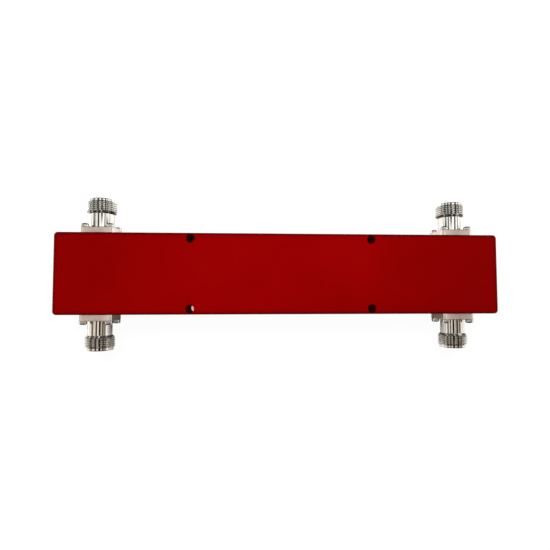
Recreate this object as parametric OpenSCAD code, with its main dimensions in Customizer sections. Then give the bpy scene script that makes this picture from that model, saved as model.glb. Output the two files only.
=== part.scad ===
// Hybrid coupler with four threaded coaxial jacks, in millimetres.
// X runs along the body, Y along the jacks, Z up from the cover's outer face to the plain face of the housing.

/* [Body] */
// Width of the housing and the cover
body_w = 44; // [42:0.5:60]
// From the end of the body to the axis of a jack
jack_inset = 21; // [19:0.5:40]
// Radius of the four upright corners
corner_r = 2; // [1:0.25:4]
// Bevel round the outer face of the housing and of the cover
edge_bevel = 0.5; // [0.2:0.1:0.8]
// Thickness of the housing's floor
floor_t = 3; // [2:0.25:6]
// Height of the air space between the floor and the cover
cavity_h = 18; // [18:0.2:24]
// Thickness of the walls round the air space
wall_t = 8; // [7.6:0.2:10]
// Corner radius of the air space
cavity_r = 3; // [1:0.25:5]
// Thickness of the cover
cover_t = 3; // [2:0.25:6]

/* [Mounting holes] */
// Distance between the through holes along the body
mount_pitch = 99; // [90:1:110]
// From the side of the body to the middle of a through hole
mount_inset = 3; // [2.8:0.1:3.3]
// Diameter of the through holes
mount_d = 4.3; // [3.2:0.1:4.5]
// Bevel at both mouths of a through hole
mount_bevel = 0.3; // [0.1:0.1:0.4]

/* [Cover screws and seal] */
// From the outside of the body to the middle of a cover screw
screw_inset = 3; // [2.8:0.1:3.6]
// From a mounting hole to the cover screw beyond it
screw_past_mount = 9.5; // [8:0.5:12]
// From a jack's axis to the cover screw before it
screw_before_jack = 11.5; // [10.5:0.5:13]
// Length of a cover screw
cover_screw_l = 8; // [6:0.5:10]
// From the air space to the groove for the seal
groove_inset = 0.8; // [0.6:0.1:1]
// Width of the groove for the seal
groove_w = 1.4; // [1.2:0.1:1.5]
// Depth of the groove for the seal
groove_depth = 1.1; // [1:0.1:1.5]
// Diameter of the seal cord
seal_d = 1; // [0.8:0.05:1]

/* [Small screws] */
// Thread diameter
screw_d = 2.5; // [2:0.1:2.6]
// Head diameter
head_d = 4.3; // [4:0.1:4.4]
// Height of a domed head
dome_h = 2.3; // [1.8:0.1:2.6]
// Radius of the dome
dome_r = 3.2; // [2.8:0.1:6]
// Length of a flange screw under its head
flange_screw_l = 8; // [6:0.5:8]
// Width of each arm of the cross recess
recess_w = 0.6; // [0.4:0.1:0.8]
// Length across the cross recess
recess_l = 2.6; // [2:0.1:3]
// Depth of the cross recess
recess_depth = 0.8; // [0.5:0.1:1]

/* [Jacks] */
// From the wall to the front face of a jack
jack_l = 19.7; // [18.5:0.1:22]
// Side of the square flange
flange_w = 17.8; // [17.7:0.1:17.9]
// Thickness of the flange
flange_t = 3.5; // [3:0.1:4]
// Corner radius of the flange
flange_r = 1.5; // [0.8:0.1:2]
// Bevel round the front of the flange
flange_bevel = 0.3; // [0.1:0.1:0.5]
// Distance between the flange holes
flange_pitch = 13.6; // [13:0.1:13.6]
// Diameter of the neck between flange and thread
neck_d = 12.9; // [12:0.1:13.1]
// Length of the cone from neck to thread
shoulder_l = 1.1; // [0.8:0.1:1.5]
// Outer diameter of the thread
thread_d = 15.875; // [15:0.125:16]
// Length of the thread
thread_l = 5.1; // [4.5:0.1:6]
// Length of the plain lip before the thread
lip_l = 2.1; // [1.5:0.1:2.5]
// Diameter of the plain lip
lip_d = 14.4; // [13.5:0.1:14.8]
// Bevel on the outside of the lip
lip_bevel = 0.4; // [0.2:0.1:0.6]
// Bore that takes the mating plug
mouth_d = 8.1; // [8:0.05:8.3]
// Depth of that bore
mouth_depth = 9.1; // [8.5:0.1:9.5]
// Diameter of the bevel at the mouth
mouth_bevel_d = 9.8; // [9:0.1:10.5]
// Depth of the bevel at the mouth
mouth_bevel_l = 1.2; // [0.8:0.1:1.5]
// Bore of the step that stops the insulator
step_d = 7; // [6.8:0.1:7.4]
// Length of that step
step_l = 1.2; // [1:0.1:1.5]
// Depth of the seal groove behind the flange
flange_groove_depth = 0.9; // [0.8:0.1:1]
// Inner diameter of the seal groove behind the flange
flange_groove_d = 11.5; // [11.2:0.1:11.7]
// Width of the seal groove behind the flange
flange_groove_w = 1.1; // [1:0.1:1.2]

/* [Insulators and contacts] */
// Diameter of the insulator
insulator_d = 10; // [9.4:0.1:10.2]
// Diameter of the contact
contact_d = 3.04; // [3:0.02:3.2]
// From the jack's front face back to the tip of the contact
contact_recess = 4.1; // [3.8:0.1:4.6]
// Bevel at the tip of the contact
contact_bevel = 0.3; // [0.1:0.1:0.4]
// Bore of the contact's socket
socket_d = 1.65; // [1.6:0.05:1.8]
// Depth of the socket
socket_depth = 6; // [5:0.25:7]
// Width of the slots that part the socket's fingers
slot_w = 0.3; // [0.2:0.05:0.5]
// Length of those slots
slot_l = 4.6; // [3.5:0.1:5]
// Diameter of the collar at the back of the insulator
collar_d = 4.4; // [4:0.1:5]
// Thickness of the collar
collar_t = 1.2; // [0.8:0.1:2]
// Length of the tail inside the air space
tail_l = 4; // [3:0.25:5]

/* [Coupling lines] */
// Length of each of the five sections, a quarter of a wavelength
section_l = 40; // [36:0.5:50]
// Thickness of each strip
line_t = 2; // [1.5:0.1:2.5]
// Air gap between the levels of the two strips
line_gap = 2.4; // [2.2:0.1:2.6]
// Width of the strips in the two end sections
end_w = 7.6; // [6.5:0.1:8.5]
// Width of the strips in the second and fourth sections
second_w = 6.4; // [5.5:0.1:7.5]
// Width of the strips in the middle section
middle_w = 5; // [4:0.1:6.5]
// Sideways place of the end sections
end_offset = 5.2; // [4.5:0.1:6]
// Sideways place of the second and fourth sections
second_offset = 3.1; // [2.5:0.1:3.8]
// Width of the tabs that reach the contacts
tab_w = 5; // [4:0.1:6]
// From the wall of the air space to the end of a tab
tab_end_gap = 1; // [0.6:0.1:1.5]
// Length of the mitre where a tab turns into its strip
mitre = 3; // [1:0.25:4]

/* [Line supports] */
// Length of a support along the strips
support_l = 4; // [3:0.25:6]
// Depth of the notches that hold a strip in its support
notch = 0.6; // [0.4:0.1:1]

/* [Clearances] */
// Round a screw in its thread
thread_gap = 0.05; // [0.02:0.01:0.1]
// Round a screw in its through hole
screw_gap = 0.1; // [0.05:0.05:0.2]
// Round an insulator, a contact or a collar in its bore
push_gap = 0.02; // [0.01:0.01:0.05]
// Round a support, and round a strip in its support
slide_gap = 0.05; // [0.02:0.01:0.1]
// Between a countersunk head and the cover's face
head_sink = 0.1; // [0.05:0.05:0.3]

/* [Hidden] */
$fn = 64;
// Overlap that lets a cut run past a face
cut = 1;

// The coupler has five sections, with the two ends alike, and the body is as long as they need
section_count = 5;
section_w = [end_w, second_w, middle_w, second_w, end_w];
section_offset = [end_offset, second_offset, 0, second_offset, end_offset];
function section_x(i) = (i - (section_count - 1) / 2) * section_l;
function has_support(i) = i != (section_count - 1) / 2;

jack_x = section_count * section_l / 2;
body_l = 2 * (jack_x + jack_inset);
body_top = cover_t + cavity_h + floor_t;
cavity_l = body_l - 2 * wall_t;
cavity_w = body_w - 2 * wall_t;
axis_z = cover_t + cavity_h / 2;
tapped_r = screw_d / 2 + thread_gap;
through_r = screw_d / 2 + screw_gap;
tap_runout = 0.6;

mount_x = mount_pitch / 2;
mount_y = body_w / 2 - mount_inset;
in_1 = [-jack_x, -1];
in_2 = [-jack_x, 1];
out_1 = [jack_x, -1];
out_2 = [jack_x, 1];

screw_x_end = body_l / 2 - screw_inset;
screw_y = body_w / 2 - screw_inset;
screw_x_outer = mount_x + screw_past_mount;
screw_x_half = [screw_x_outer / 2, screw_x_outer, jack_x - screw_before_jack, screw_x_end];
screw_places = [
    for (y = [-screw_y, screw_y], x = screw_x_half, side = [-1, 1]) [side * x, y],
    for (y = [-screw_y, screw_y]) [0, y],
    for (side = [-1, 1]) [side * screw_x_end, 0]
];
// A countersunk head is a straight rim and a cone as deep as it is wide
head_rim = 0.2;
head_cone_h = (head_d - screw_d) / 2;

thread_end = jack_l - lip_l;
thread_start = thread_end - thread_l;
neck_end = thread_start - shoulder_l;
lip_start = thread_end + (thread_d - lip_d) / 2;
mouth_end = jack_l - mouth_depth;
insulator_end = mouth_end - step_l;
contact_tip = jack_l - contact_recess;

// Section through an upright block, with its upper edges bevelled
function block_section(reach, h, bevel) = [
    [-reach, 0], [reach, 0], [reach, h - bevel], [reach - bevel, h], [bevel - reach, h], [-reach, h - bevel]
];

// Half of that section, to be turned about the upright axis of a round corner
function corner_section(r, h, bevel) = [[0, 0], [r, 0], [r, h - bevel], [r - bevel, h], [0, h]];

// Block that stands on z = 0, with round corners and a bevel round its top
module bevelled_block(l, w, h, r, bevel) {
    rotate([90, 0, 0])
        linear_extrude(w - 2 * r, center = true)
            polygon(block_section(l / 2, h, bevel));
    rotate([90, 0, 90])
        linear_extrude(l - 2 * r, center = true)
            polygon(block_section(w / 2, h, bevel));
    for (x = [-1, 1], y = [-1, 1])
        translate([x * (l / 2 - r), y * (w / 2 - r), 0])
            rotate_extrude()
                polygon(corner_section(r, h, bevel));
}

// Block that stands on z = 0, with round corners and sharp edges
module round_block(l, w, h, r) {
    translate([-l / 2, r - w / 2, 0])
        cube([l, w - 2 * r, h]);
    translate([r - l / 2, -w / 2, 0])
        cube([l - 2 * r, w, h]);
    for (x = [-1, 1], y = [-1, 1])
        translate([x * (l / 2 - r), y * (w / 2 - r), 0])
            cylinder(h = h, r = r);
}

// Puts a piece on a jack's axis, with its z pointing out from the wall and its y towards the jack's strip
module at_jack(jack) {
    translate([jack[0], jack[1] * body_w / 2, axis_z])
        rotate([-90 * jack[1], 0, 0])
            children();
}

module at_jacks() {
    for (jack = [in_1, in_2, out_1, out_2])
        at_jack(jack)
            children();
}

module at_mounts() {
    for (x = [-mount_x, mount_x], y = [-mount_y, mount_y])
        translate([x, y, 0])
            children();
}

module at_cover_screws() {
    for (place = screw_places)
        translate([place[0], place[1], 0])
            children();
}

module at_flange_holes() {
    for (x = [-1, 1], y = [-1, 1])
        translate([x * flange_pitch / 2, y * flange_pitch / 2, 0])
            children();
}

// Cross recess cut down from z = 0
module cross_recess() {
    for (turn = [0, 90])
        rotate(turn)
            translate([-recess_l / 2, -recess_w / 2, -recess_depth])
                cube([recess_l, recess_w, recess_depth + cut]);
}

// Milled tray, open downwards, with the seal's groove in its rim
module housing() {
    color([0.55, 0, 0.02])
        difference() {
            translate([0, 0, cover_t])
                bevelled_block(body_l, body_w, cavity_h + floor_t, corner_r, edge_bevel);
            translate([0, 0, cover_t - cut])
                round_block(cavity_l, cavity_w, cavity_h + cut, cavity_r);
            translate([0, 0, cover_t - cut])
                seal_groove(groove_depth + cut);
            at_mounts()
                cylinder(h = body_top + cut, d = mount_d);
            at_mounts()
                translate([0, 0, body_top])
                    mirror([0, 0, 1])
                        hole_bevel(mount_d / 2, mount_bevel);
            at_cover_screws()
                cylinder(h = head_sink + cover_screw_l + tap_runout, r = tapped_r);
            at_jacks()
                translate([0, 0, -wall_t - cut])
                    cylinder(h = wall_t + 2 * cut, d = insulator_d);
            at_jacks()
                at_flange_holes()
                    translate([0, 0, flange_t - flange_screw_l - tap_runout])
                        cylinder(h = flange_screw_l + tap_runout, r = tapped_r);
        }
}

// Ring of the groove's width, all round the air space
module seal_groove(h) {
    inner = 2 * groove_inset;
    outer = inner + 2 * groove_w;
    difference() {
        round_block(cavity_l + outer, cavity_w + outer, h, cavity_r + outer / 2);
        translate([0, 0, -cut])
            round_block(cavity_l + inner, cavity_w + inner, h + 2 * cut, cavity_r + inner / 2);
    }
}

// Flat lid on the housing's rim, countersunk for its screws
module cover() {
    color([0.55, 0, 0.02])
        difference() {
            translate([0, 0, cover_t])
                mirror([0, 0, 1])
                    bevelled_block(body_l, body_w, cover_t, corner_r, edge_bevel);
            at_mounts()
                translate([0, 0, -cut])
                    cylinder(h = cover_t + 2 * cut, d = mount_d);
            at_mounts()
                hole_bevel(mount_d / 2, mount_bevel);
            at_cover_screws()
                countersink();
        }
}

// Cone that bevels the mouth of a hole on z = 0, with the hole above it
module hole_bevel(r, bevel) {
    translate([0, 0, -cut])
        cylinder(h = cut + bevel, r1 = r + bevel + cut, r2 = r);
}

// Through hole with a seat that follows the countersunk head at the screw gap
module countersink() {
    seat_r = head_d / 2 + screw_gap;
    translate([0, 0, -cut])
        cylinder(h = cover_t + 2 * cut, r = through_r);
    translate([0, 0, -cut])
        cylinder(h = cut + head_sink + head_rim, r = seat_r);
    translate([0, 0, head_sink + head_rim])
        cylinder(h = head_cone_h, r1 = seat_r, r2 = through_r);
}

module cover_screws() {
    color([0.75, 0.75, 0.77])
        at_cover_screws()
            translate([0, 0, head_sink])
                countersunk_screw();
}

// Countersunk screw whose flat head starts at z = 0, with its point upwards
module countersunk_screw() {
    difference() {
        rotate_extrude()
            polygon([
                [0, 0],
                [head_d / 2, 0],
                [head_d / 2, head_rim],
                [screw_d / 2, head_rim + head_cone_h],
                [screw_d / 2, cover_screw_l],
                [0, cover_screw_l]
            ]);
        mirror([0, 0, 1])
            cross_recess();
    }
}

// Round cord laid along the middle of the groove in the housing's rim
module cover_seal() {
    path_inset = groove_inset + groove_w / 2;
    path_r = cavity_r + path_inset;
    straight_l = cavity_l - 2 * cavity_r;
    straight_w = cavity_w - 2 * cavity_r;
    color([0.12, 0.12, 0.12])
        translate([0, 0, cover_t + groove_depth / 2]) {
            for (side = [-1, 1]) {
                translate([-straight_l / 2, side * (straight_w / 2 + path_r), 0])
                    rotate([0, 90, 0])
                        cylinder(h = straight_l, d = seal_d);
                translate([side * (straight_l / 2 + path_r), straight_w / 2, 0])
                    rotate([90, 0, 0])
                        cylinder(h = straight_w, d = seal_d);
            }
            for (turn = [0, 180], side = [0, 1])
                rotate(turn)
                    mirror([side, 0, 0])
                        translate([straight_l / 2, straight_w / 2, 0])
                            rotate_extrude(angle = 90)
                                translate([path_r, 0])
                                    circle(d = seal_d);
        }
}

// One strip, lying on z = 0, with its end sections and tabs towards -Y and its bends mitred
module strip() {
    difference() {
        union() {
            for (i = [0 : section_count - 1])
                translate([section_x(i), -section_offset[i], line_t / 2])
                    cube([section_l, section_w[i], line_t], center = true);
            for (x = [-jack_x, jack_x])
                translate([x - tab_w / 2, tab_end_gap - cavity_w / 2, 0])
                    cube([tab_w, cavity_w / 2 - tab_end_gap - end_offset + end_w / 2, line_t]);
        }
        for (i = [0 : section_count - 1], side = [-1, 1])
            if (has_support(i))
                translate([section_x(i), side * section_w[i] / 2 - section_offset[i], line_t / 2])
                    cube([support_l + 2 * slide_gap, 2 * notch, line_t + 2 * cut], center = true);
        for (side = [-1, 1])
            translate([side * (jack_x + tab_w / 2), end_w / 2 - end_offset, line_t / 2])
                rotate(45)
                    cube([mitre * sqrt(2), mitre * sqrt(2), line_t + 2 * cut], center = true);
    }
}

// The upper strip reaches both jacks on the -Y side
module upper_line() {
    color([0.85, 0.84, 0.8])
        translate([0, 0, axis_z + line_gap / 2])
            strip();
}

// The lower strip is the same piece turned over, and reaches both jacks on the +Y side
module lower_line() {
    color([0.85, 0.84, 0.8])
        translate([0, 0, axis_z - line_gap / 2])
            rotate([180, 0, 0])
                strip();
}

// Comb that fills the height of the air space and holds both strips at one section
module line_support(i) {
    color([0.95, 0.95, 0.93])
        translate([section_x(i), 0, axis_z])
            difference() {
                cube([support_l, cavity_w - 2 * slide_gap, cavity_h], center = true);
                strip_slot(i);
                rotate([180, 0, 0])
                    strip_slot(i);
            }
}

// Slot for the upper strip, open towards -Y and ended at the strip's notch
module strip_slot(i) {
    slot_end = section_w[i] / 2 - notch - section_offset[i] + slide_gap;
    translate([-support_l / 2 - cut, -cavity_w / 2 - cut, line_gap / 2])
        cube([support_l + 2 * cut, cavity_w / 2 + cut + slot_end, line_t + slide_gap]);
}

// Jack body turned from one bar, with its flange milled square
module shell() {
    neck_r = neck_d / 2;
    thread_r = thread_d / 2;
    lip_r = lip_d / 2;
    color([0.8, 0.8, 0.78])
        difference() {
            union() {
                bevelled_block(flange_w, flange_w, flange_t, flange_r, flange_bevel);
                rotate_extrude()
                    polygon([
                        [0, flange_t / 2],
                        [neck_r, flange_t / 2],
                        [neck_r, neck_end],
                        [thread_r, thread_start],
                        [thread_r, thread_end],
                        [lip_r, lip_start],
                        [lip_r, jack_l - lip_bevel],
                        [lip_r - lip_bevel, jack_l],
                        [0, jack_l]
                    ]);
            }
            shell_bore();
            difference() {
                translate([0, 0, -cut])
                    cylinder(h = flange_groove_depth + cut, d = flange_groove_d + 2 * flange_groove_w);
                translate([0, 0, -2 * cut])
                    cylinder(h = flange_groove_depth + 3 * cut, d = flange_groove_d);
            }
            at_flange_holes()
                translate([0, 0, -cut])
                    cylinder(h = flange_t + 2 * cut, r = through_r);
        }
}

// Bore of the jack: the insulator's seat, the step that stops it, and the plug's mouth
module shell_bore() {
    rotate_extrude()
        polygon([
            [0, -cut],
            [insulator_d / 2, -cut],
            [insulator_d / 2, insulator_end],
            [step_d / 2, insulator_end],
            [step_d / 2, mouth_end],
            [mouth_d / 2, mouth_end],
            [mouth_d / 2, jack_l - mouth_bevel_l],
            [mouth_bevel_d / 2, jack_l],
            [mouth_bevel_d / 2, jack_l + cut],
            [0, jack_l + cut]
        ]);
}

// Turned plug of insulation, from the air space up to the step in the shell
module insulator() {
    outer_r = insulator_d / 2 - push_gap;
    bore_r = contact_d / 2 + push_gap;
    collar_r = collar_d / 2 + push_gap;
    collar_top = collar_t - wall_t;
    color([0.95, 0.95, 0.93])
        rotate_extrude()
            polygon([
                [collar_r, -wall_t],
                [outer_r, -wall_t],
                [outer_r, insulator_end],
                [bore_r, insulator_end],
                [bore_r, collar_top],
                [collar_r, collar_top]
            ]);
}

// Turned contact: slotted socket in front, collar behind the insulator, and a tail with a flat for the strip
module contact() {
    contact_r = contact_d / 2;
    collar_front = collar_t - wall_t - push_gap;
    tail_end = -wall_t - tail_l;
    color([0.85, 0.68, 0.3])
        difference() {
            rotate_extrude()
                polygon([
                    [0, tail_end],
                    [contact_r, tail_end],
                    [contact_r, -wall_t],
                    [collar_d / 2, -wall_t],
                    [collar_d / 2, collar_front],
                    [contact_r, collar_front],
                    [contact_r, contact_tip - contact_bevel],
                    [contact_r - contact_bevel, contact_tip],
                    [0, contact_tip]
                ]);
            translate([0, 0, contact_tip - socket_depth])
                cylinder(h = socket_depth + cut, d = socket_d);
            for (turn = [0, 90])
                rotate(turn)
                    translate([-contact_d, -slot_w / 2, contact_tip - slot_l])
                        cube([2 * contact_d, slot_w, slot_l + cut]);
            translate([-contact_d, line_gap / 2, tail_end - cut])
                cube([2 * contact_d, contact_d, tail_l + cut]);
        }
}

// Round ring in the groove behind the flange
module flange_seal() {
    ring_r = (flange_groove_d + flange_groove_w) / 2;
    section_d = flange_groove_depth - 2 * push_gap;
    color([0.12, 0.12, 0.12])
        translate([0, 0, flange_groove_depth / 2])
            rotate_extrude()
                translate([ring_r, 0])
                    circle(d = section_d);
}

// Four domed screws that hold the flange to the wall
module flange_screws() {
    color([0.75, 0.75, 0.77])
        at_flange_holes()
            translate([0, 0, flange_t])
                domed_screw();
}

// Domed screw whose head stands on z = 0, with its point downwards
module domed_screw() {
    difference() {
        union() {
            intersection() {
                cylinder(h = dome_h, d = head_d);
                translate([0, 0, dome_h - dome_r])
                    sphere(r = dome_r);
            }
            translate([0, 0, -flange_screw_l])
                cylinder(h = flange_screw_l + dome_h / 2, d = screw_d);
        }
        translate([0, 0, dome_h])
            cross_recess();
    }
}

housing();
cover();
cover_seal();
cover_screws();
upper_line();
lower_line();
line_support(0);  // line_support_1
line_support(1);  // line_support_2
line_support(3);  // line_support_3
line_support(4);  // line_support_4
at_jack(in_1) shell();  // in_1_shell
at_jack(in_1) insulator();  // in_1_insulator
at_jack(in_1) contact();  // in_1_contact
at_jack(in_1) flange_seal();  // in_1_seal
at_jack(in_1) flange_screws();  // in_1_screws
at_jack(in_2) shell();  // in_2_shell
at_jack(in_2) insulator();  // in_2_insulator
at_jack(in_2) contact();  // in_2_contact
at_jack(in_2) flange_seal();  // in_2_seal
at_jack(in_2) flange_screws();  // in_2_screws
at_jack(out_1) shell();  // out_1_shell
at_jack(out_1) insulator();  // out_1_insulator
at_jack(out_1) contact();  // out_1_contact
at_jack(out_1) flange_seal();  // out_1_seal
at_jack(out_1) flange_screws();  // out_1_screws
at_jack(out_2) shell();  // out_2_shell
at_jack(out_2) insulator();  // out_2_insulator
at_jack(out_2) contact();  // out_2_contact
at_jack(out_2) flange_seal();  // out_2_seal
at_jack(out_2) flange_screws();  // out_2_screws
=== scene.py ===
import math

import bmesh
import bpy
from mathutils import Matrix, Vector


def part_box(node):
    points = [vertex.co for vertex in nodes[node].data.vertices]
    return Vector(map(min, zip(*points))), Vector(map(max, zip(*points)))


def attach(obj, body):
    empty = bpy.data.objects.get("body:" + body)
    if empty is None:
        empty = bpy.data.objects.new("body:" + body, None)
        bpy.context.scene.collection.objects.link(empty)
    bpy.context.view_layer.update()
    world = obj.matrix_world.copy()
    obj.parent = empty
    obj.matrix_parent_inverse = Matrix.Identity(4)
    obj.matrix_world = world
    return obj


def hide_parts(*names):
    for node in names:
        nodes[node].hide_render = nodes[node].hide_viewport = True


# Hybrid coupler: red anodised body, four plated coaxial jacks with cut threads, on a pale studio floor
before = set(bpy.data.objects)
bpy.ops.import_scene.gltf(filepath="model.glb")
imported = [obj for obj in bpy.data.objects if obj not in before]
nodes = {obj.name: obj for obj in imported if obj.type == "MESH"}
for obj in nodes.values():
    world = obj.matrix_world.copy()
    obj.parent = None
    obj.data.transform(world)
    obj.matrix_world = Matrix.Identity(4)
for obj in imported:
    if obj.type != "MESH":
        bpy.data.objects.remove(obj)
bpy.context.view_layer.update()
millimetre = 0.001
print("frame loaded:", len(nodes), "solid pieces")


# Small helpers for node trees
def addNode(tree, kind, x, y, **settings):
    made = tree.nodes.new(kind)
    made.location = (x, y)
    for name, value in settings.items():
        setattr(made, name, value)
    return made


def wire(tree, source, target):  # a number or a colour is set, a socket is linked
    if isinstance(source, (int, float)):
        target.default_value = source
    elif isinstance(source, tuple):
        target.default_value = (*source, 1.0)
    elif source is not None:
        tree.links.new(source, target)


def calculate(tree, operation, first, second, x, y):
    sums = addNode(tree, "ShaderNodeMath", x, y, operation=operation)
    wire(tree, first, sums.inputs[0])
    wire(tree, second, sums.inputs[1])
    return sums.outputs[0]


# Gives least where the value is zero's, 1 where it is one's, and a soft step between
def limitValue(tree, value, zero, one, x, y, least=0.0, kind="SMOOTHSTEP"):
    reach = addNode(tree, "ShaderNodeMapRange", x, y, interpolation_type=kind)
    reach.inputs["From Min"].default_value = zero
    reach.inputs["From Max"].default_value = one
    reach.inputs["To Min"].default_value = least
    wire(tree, value, reach.inputs["Value"])
    return reach.outputs["Result"]


def spreadValue(tree, value, low, high, x, y):  # 0 to 1 becomes low to high
    reach = addNode(tree, "ShaderNodeMapRange", x, y)
    reach.inputs["To Min"].default_value = low
    reach.inputs["To Max"].default_value = high
    wire(tree, value, reach.inputs["Value"])
    return reach.outputs["Result"]


def mixColours(tree, factor, low, high, x, y):
    mix = addNode(tree, "ShaderNodeMix", x, y, data_type="RGBA")
    wire(tree, factor, mix.inputs["Factor"])
    wire(tree, low, mix.inputs["A"])
    wire(tree, high, mix.inputs["B"])
    return mix.outputs["Result"]


def splitPlace(tree, place, x, y):
    split = addNode(tree, "ShaderNodeSeparateXYZ", x, y)
    wire(tree, place, split.inputs[0])
    return split.outputs["X"], split.outputs["Y"], split.outputs["Z"]


def addNoise(tree, source, scale, x, y, detail=2.0, dimensions="3D"):
    noise = addNode(tree, "ShaderNodeTexNoise", x, y, noise_dimensions=dimensions)
    wire(tree, source, noise.inputs["W" if dimensions == "1D" else "Vector"])
    wire(tree, scale, noise.inputs["Scale"])
    wire(tree, detail, noise.inputs["Detail"])
    return noise.outputs["Fac"]


def startGroup(name, inputs, outputs):  # an input with no value is a vector
    tree = bpy.data.node_groups.new(name, "ShaderNodeTree")
    for title, value in inputs.items():
        kind = "NodeSocketVector" if value is None else "NodeSocketFloat"
        socket = tree.interface.new_socket(title, in_out="INPUT", socket_type=kind)
        if value is not None:
            socket.default_value = value
    for title in outputs:
        tree.interface.new_socket(title, in_out="OUTPUT", socket_type="NodeSocketFloat")
    entry = addNode(tree, "NodeGroupInput", -900, 0)
    leave = addNode(tree, "NodeGroupOutput", 700, 0)
    return tree, entry.outputs, leave.inputs


def placeGroup(tree, group, place, x, y, **values):
    made = addNode(tree, "ShaderNodeGroup", x, y, node_tree=group)
    for name, value in values.items():
        made.inputs[name].default_value = value
    if place is not None:
        wire(tree, place, made.inputs["Vector"])
    return made


# Shared effects
cloudEnds = (0.3, 0.7)


def buildCloudGroup():  # slow uneven tone, from 0 to 1
    tree, given, wanted = startGroup("slowCloud", {"Vector": None, "Scale": 30.0, "Detail": 3.0}, ["Cloud"])
    noise = addNoise(tree, given["Vector"], given["Scale"], -500, 0, given["Detail"])
    wire(tree, limitValue(tree, noise, *cloudEnds, 100, 0), wanted["Cloud"])
    return tree


def buildGrainGroup():  # fine pitted grain of a blasted, cast or moulded skin
    tree, given, wanted = startGroup(
        "fineGrain",
        {"Vector": None, "Scale": 4000.0, "Pits": 0.5},
        ["Height", "Speckle"],
    )
    speckle = addNoise(tree, given["Vector"], given["Scale"], -600, 150)
    cells = addNode(tree, "ShaderNodeTexVoronoi", -600, -150, feature="SMOOTH_F1")
    wire(tree, given["Vector"], cells.inputs["Vector"])
    wire(tree, given["Scale"], cells.inputs["Scale"])
    deep = calculate(tree, "MULTIPLY", cells.outputs["Distance"], given["Pits"], -200, -150)
    wire(tree, calculate(tree, "ADD", speckle, deep, 100, 0), wanted["Height"])
    wire(tree, speckle, wanted["Speckle"])
    return tree


def buildEdgeGroup():  # mask that is 1 along outer edges and 0 on flats
    tree, given, wanted = startGroup("edgeMask", {"Width": 0.0005, "Sharpness": 3.0}, ["Edge"])
    soft = addNode(tree, "ShaderNodeBevel", -600, 100, samples=6)
    wire(tree, given["Width"], soft.inputs["Radius"])
    facing = addNode(tree, "ShaderNodeNewGeometry", -600, -150)
    compare = addNode(tree, "ShaderNodeVectorMath", -350, 0, operation="DOT_PRODUCT")
    wire(tree, soft.outputs["Normal"], compare.inputs[0])
    wire(tree, facing.outputs["Normal"], compare.inputs[1])
    apart = calculate(tree, "SUBTRACT", 1.0, compare.outputs["Value"], -150, 0)
    raised = calculate(tree, "MULTIPLY", apart, given["Sharpness"], 50, 0)
    clip = addNode(tree, "ShaderNodeClamp", 250, 0)
    wire(tree, raised, clip.inputs["Value"])
    wire(tree, clip.outputs[0], wanted["Edge"])
    return tree


# Turned skin of a jack, in metres: lathe rings, and painted shade in the thread's roots and on the cone
# behind the thread
turnedSkin = {
    "ringDetail": 2.0,
    "toneScale": 0.2,
    "toneDetail": 1.0,
    "rootFrom": 0.0001,  # below the crests
    "rootTo": 0.0006,
    "beginFrom": -0.0001,  # from the neck's end
    "beginTo": 0.00005,
    "finish": 0.0003,  # before the end of the thread's run-out
    "coneFrom": 0.0004,  # past the thread's start
    "coneTo": 0.0001,
    "patchScale": 420.0,  # lighter patches in the cone's painted shade
    "patchDetail": 1.0,
    "patchEnds": (0.50, 0.60),
}


def buildTurningGroup(jackX, jackZ, wallY):
    tree, given, wanted = startGroup(
        "turningRings",
        {"Vector": None, "Rings": 6000.0, "Share": 0.5},
        ["Height", "Tone", "RootShade", "Cone", "ThinShadePatch"],
    )
    s = turnedSkin
    placeX, placeY, placeZ = splitPlace(tree, given["Vector"], -800, 0)
    farX = calculate(tree, "ABSOLUTE", placeX, None, -650, 200)
    besideX = calculate(tree, "SUBTRACT", farX, jackX, -500, 200)
    aboveZ = calculate(tree, "SUBTRACT", placeZ, jackZ, -500, 0)
    squareX = calculate(tree, "MULTIPLY", besideX, besideX, -350, 200)
    squareZ = calculate(tree, "MULTIPLY", aboveZ, aboveZ, -350, 0)
    square = calculate(tree, "ADD", squareX, squareZ, -200, 100)
    radius = calculate(tree, "SQRT", square, None, -50, 100)
    outY = calculate(tree, "ABSOLUTE", placeY, None, -200, -150)
    along = calculate(tree, "ADD", radius, outY, 80, 0)
    turn = calculate(tree, "MULTIPLY", along, given["Rings"], 200, 0)
    wire(tree, addNoise(tree, turn, 1.0, 350, 100, s["ringDetail"], "1D"), wanted["Height"])
    wire(tree, addNoise(tree, turn, s["toneScale"], 350, -150, s["toneDetail"], "1D"), wanted["Tone"])
    crest = jackShell["threadRadius"] * millimetre
    shoulder = wallY + jackShell["neckEnd"] * millimetre
    start = wallY + jackShell["threadStart"] * millimetre
    runOut = wallY + (jackShell["threadEnd"] + jackShell["threadDepth"]) * millimetre
    # painted shade masks: the thread's roots, the cone behind the thread, and lighter patches on the cone
    inwards = limitValue(tree, radius, crest - s["rootFrom"], crest - s["rootTo"], 350, 400)
    begun = limitValue(tree, outY, shoulder + s["beginFrom"], shoulder + s["beginTo"], 350, -400)
    ended = limitValue(tree, outY, runOut, runOut - s["finish"], 350, -650)
    between = calculate(tree, "MULTIPLY", begun, ended, 520, -500)
    roots = calculate(tree, "MULTIPLY", inwards, given["Share"], 520, 300)
    cone = limitValue(tree, outY, start + s["coneFrom"], start + s["coneTo"], 350, -900)
    wire(tree, calculate(tree, "MULTIPLY", roots, between, 600, -200), wanted["RootShade"])
    wire(tree, calculate(tree, "MULTIPLY", cone, between, 600, -500), wanted["Cone"])
    aside = addNoise(tree, placeX, s["patchScale"], 350, -1150, s["patchDetail"], "1D")
    lessShade = limitValue(tree, aside, *s["patchEnds"], 520, -1150)
    wire(tree, calculate(tree, "MULTIPLY", lessShade, cone, 700, -1000), wanted["ThinShadePatch"])
    return tree


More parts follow.
